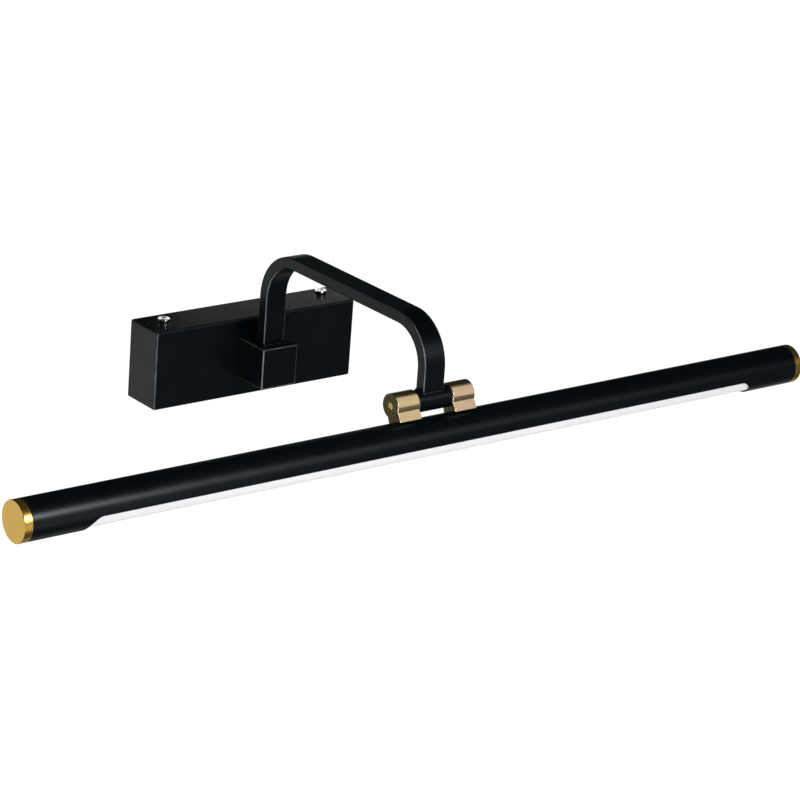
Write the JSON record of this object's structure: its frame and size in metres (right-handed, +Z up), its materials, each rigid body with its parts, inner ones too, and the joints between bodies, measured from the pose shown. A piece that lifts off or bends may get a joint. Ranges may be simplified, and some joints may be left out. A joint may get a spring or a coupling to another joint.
{
  "type": "picture light",
  "caption": "Wall picture light: black wall box and square arm, with a slim round LED lamp head that tilts on a brass knuckle.",
  "frame": {"origin": "centre of the wall box's open back, on the wall plane, midway between the two wall screw holes", "axes": "+X along the lamp head, -Y out from the wall into the room, +Z up"},
  "size_m": [0.5984, 0.2337, 0.1069],
  "materials": {
    "canopy_black": "satin black powder coat",
    "arm_black": "satin black powder coat",
    "tube_black": "satin black powder coat",
    "weld_black": "painted weld bead",
    "brass_bright": "polished and lacquered brass",
    "brass_satin": "fine-turned gold-coloured brass",
    "nickel": "bright nickel plate",
    "zinc_steel": "zinc-plated steel",
    "washer_steel": "spring steel",
    "opal": "opal polycarbonate",
    "aluminium": "mill-finish extrusion",
    "board_white": "white solder mask on aluminium board",
    "chip_yellow": "phosphor-filled chip",
    "board_green": "green solder mask",
    "case_white": "moulded white plastic",
    "winding_tape": "yellow insulating tape",
    "capacitor_sleeve": "black shrink sleeve",
    "terminal_white": "moulded nylon",
    "clamp_brass": "machined brass",
    "rubber": "black rubber",
    "lead_brown": "brown wire insulation",
    "lead_blue": "blue wire insulation",
    "lead_green": "green and yellow wire insulation",
    "lead_clear": "white flexible lead",
    "tag_tin": "tinned ring tag"
  },
  "bodies": {
    "wall_unit": {"wall_bracket": "zinc_steel", "cable_grommet": "rubber", "canopy": "canopy_black", "canopy_screws": "nickel", "arm_boss": "arm_black", "boss_nipple": "zinc_steel", "nipple_washer": "washer_steel", "nipple_nut": "zinc_steel", "boss_screws": "zinc_steel", "arm": "arm_black", "arm_weld_lower": "weld_black", "arm_weld_upper": "weld_black", "knuckle_barrel": "arm_black", "pivot_pin": "brass_bright", "pivot_sleeve": "zinc_steel", "friction_washer_left": "washer_steel", "friction_washer_right": "washer_steel", "driver_case": "case_white", "driver_lid": "case_white", "driver_board": "board_green", "driver_transformer": "winding_tape", "driver_capacitors": "capacitor_sleeve", "driver_screws": "zinc_steel", "terminal_block": "terminal_white", "terminal_clamps": "clamp_brass", "terminal_screws": "zinc_steel", "terminal_fixings": "zinc_steel", "earth_tag": "tag_tin", "earth_screw": "zinc_steel", "live_lead": "lead_brown", "neutral_lead": "lead_blue", "earth_lead": "lead_green", "lamp_lead": "lead_clear"},
    "lamp_head": {"lug_left": "brass_bright", "lug_right": "brass_bright", "access_plug": "brass_bright", "lamp_tube": "tube_black", "tube_grommet": "rubber", "lug_screws": "zinc_steel", "end_cap_left": "brass_satin", "end_cap_right": "brass_satin", "diffuser": "opal", "led_carrier": "aluminium", "led_board": "board_white", "board_screws": "zinc_steel", "led_chips": "chip_yellow", "head_lead": "lead_clear"}
  },
  "joints": [
    {"name": "head_tilt", "type": "hinge", "parent": "wall_unit", "child": "lamp_head", "pos_m": [0, -0.2124, 0.0302], "axis": [1, 0, 0], "range_deg": [-68, 112]}
  ]
}
